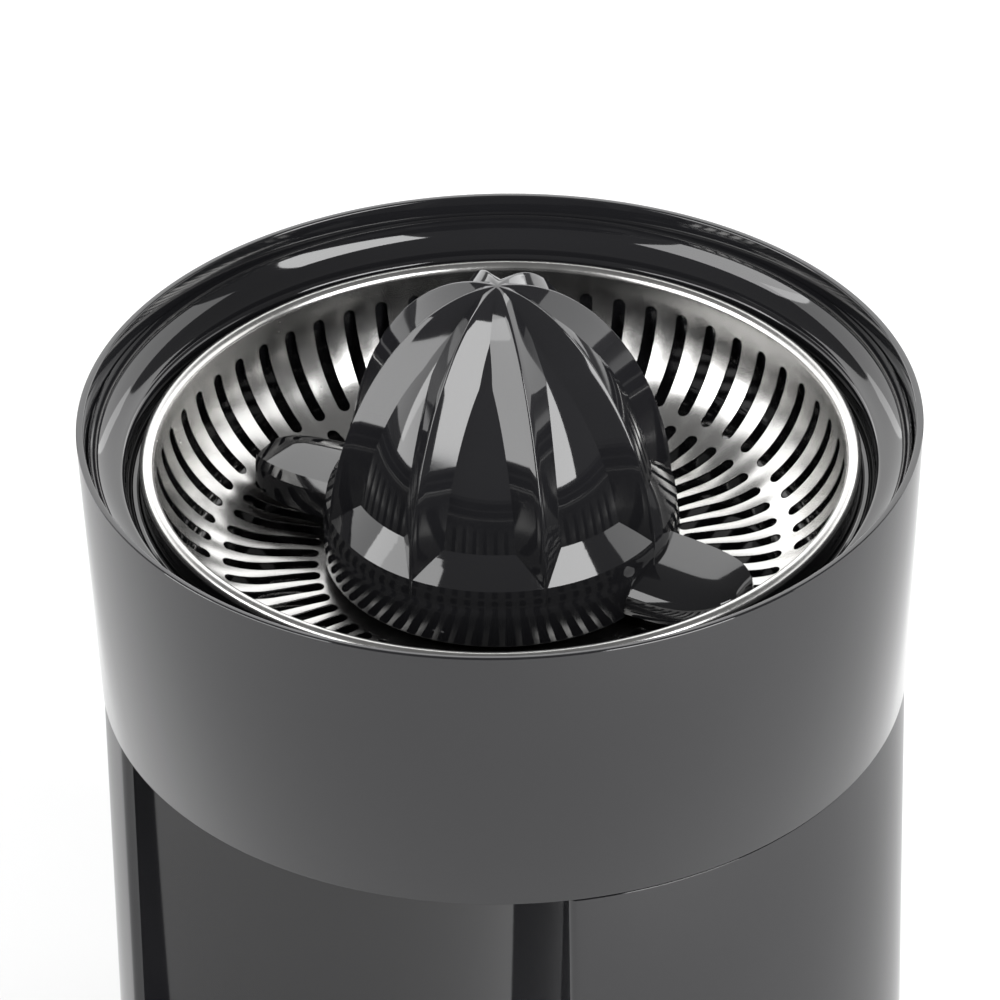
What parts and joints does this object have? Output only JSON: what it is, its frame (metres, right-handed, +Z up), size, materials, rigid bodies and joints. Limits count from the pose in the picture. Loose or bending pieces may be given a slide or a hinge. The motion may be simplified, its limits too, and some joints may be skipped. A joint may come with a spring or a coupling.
{
  "type": "citrus press juicer",
  "caption": "Round electric citrus juicer with a ribbed reamer over a slotted steel strainer, a lift-off juice collector with a tipping spout, and a motor base with a glass niche.",
  "frame": {"origin": "centre of the base on the surface it stands on, under the reamer's axis", "axes": "+Z up along the reamer's axis, -Y towards the front with the glass niche and spout, +X to the right"},
  "size_m": [0.185, 0.185, 0.2495],
  "materials": {
    "gloss_black": "polished",
    "matte_black": "fine matt",
    "grey_plastic": "moulded",
    "white_plastic": "moulded acetal",
    "stainless": "satin",
    "steel": "ground",
    "zinc": "die cast",
    "plated_steel": "zinc plated",
    "lamination": "varnished",
    "magnet": "sintered ferrite",
    "carbon": "pressed carbon",
    "copper": "turned",
    "bronze": "sintered",
    "rubber": "matt",
    "board_green": "solder mask",
    "capacitor_sleeve": "sleeve"
  },
  "bodies": {
    "base": {"body_shell": "gloss_black", "base_plate": "matte_black", "rubber_feet": "rubber", "base_screws": "steel", "top_deck": "gloss_black", "shaft_bushing": "bronze", "shaft_seal": "rubber", "gearbox_base": "grey_plastic", "gearbox_cover": "grey_plastic", "gearbox_screws": "steel", "gear_axles": "steel", "motor_can": "plated_steel", "motor_magnets": "magnet", "motor_end_cap": "grey_plastic", "carbon_brushes": "carbon", "motor_screws": "steel", "microswitch": "matte_black", "cord_gland": "rubber", "circuit_board": "board_green", "filter_capacitor": "capacitor_sleeve", "rectifier": "matte_black", "terminal_block": "white_plastic", "board_screws": "steel"},
    "output_gear": {"output_gear": "white_plastic", "return_spring": "steel"},
    "gear_two": {"gear_stage_two": "white_plastic"},
    "gear_one": {"gear_stage_one": "white_plastic"},
    "rotor": {"rotor_shaft": "steel", "rotor_core": "lamination", "commutator": "copper", "motor_pinion": "bronze"},
    "drive_shaft": {"drive_shaft": "steel", "spring_collar": "steel", "stop_clip": "steel"},
    "reamer": {"reamer_cone": "gloss_black", "reamer_hub": "zinc"},
    "strainer": {"strainer_basket": "stainless"},
    "collector": {"collector_ring": "gloss_black", "juice_bowl": "gloss_black", "spout_pin": "steel"},
    "spout": {"spout": "gloss_black"},
    "switch_plunger": {"switch_plunger": "white_plastic"}
  },
  "joints": [
    {"name": "cone_spin", "type": "hinge", "parent": "base", "child": "output_gear", "pos_m": [0, 0, 0.132], "axis": [0, 0, 1], "continuous": true},
    {"name": "gear_two_spin", "type": "hinge", "parent": "base", "child": "gear_two", "pos_m": [-0.02601, 0.01366, 0.125], "axis": [0, 0, 1], "continuous": true},
    {"name": "gear_one_spin", "type": "hinge", "parent": "base", "child": "gear_one", "pos_m": [-0.02479, 0.03963, 0.115], "axis": [0, 0, 1], "continuous": true},
    {"name": "rotor_spin", "type": "hinge", "parent": "base", "child": "rotor", "pos_m": [0, 0.046, 0.08], "axis": [0, 0, 1], "continuous": true},
    {"name": "cone_press", "type": "slide", "parent": "output_gear", "child": "drive_shaft", "axis": [0, 0, 1], "range_m": [-0.0022, 0], "stiffness_N_per_m": 3000, "springref_m": 0.003, "deforming": ["return_spring"]},
    {"name": "switch_press", "type": "slide", "parent": "base", "child": "switch_plunger", "axis": [0, 0, 1], "range_m": [-0.0022, 0]},
    {"name": "reamer_lift", "type": "slide", "parent": "drive_shaft", "child": "reamer", "axis": [0, 0, 1], "range_m": [0, 0.13]},
    {"name": "strainer_lift", "type": "slide", "parent": "base", "child": "strainer", "axis": [0, 0, 1], "range_m": [0, 0.091]},
    {"name": "collector_lift", "type": "slide", "parent": "base", "child": "collector", "axis": [0, 0, 1], "range_m": [0, 0.0585]},
    {"name": "spout_tip", "type": "hinge", "parent": "collector", "child": "spout", "pos_m": [0, -0.0491, 0.1595], "axis": [1, 0, 0], "range_deg": [-20, 0]}
  ],
  "couplings": [
    {"joint": "gear_two_spin", "follows": "cone_spin", "ratio": -3.2727},
    {"joint": "gear_one_spin", "follows": "cone_spin", "ratio": 13.745},
    {"joint": "rotor_spin", "follows": "cone_spin", "ratio": -74.225},
    {"joint": "switch_press", "follows": "cone_press", "ratio": 1},
    {"joint": "strainer_lift", "follows": "reamer_lift", "ratio": 0.7},
    {"joint": "collector_lift", "follows": "reamer_lift", "ratio": 0.45}
  ]
}
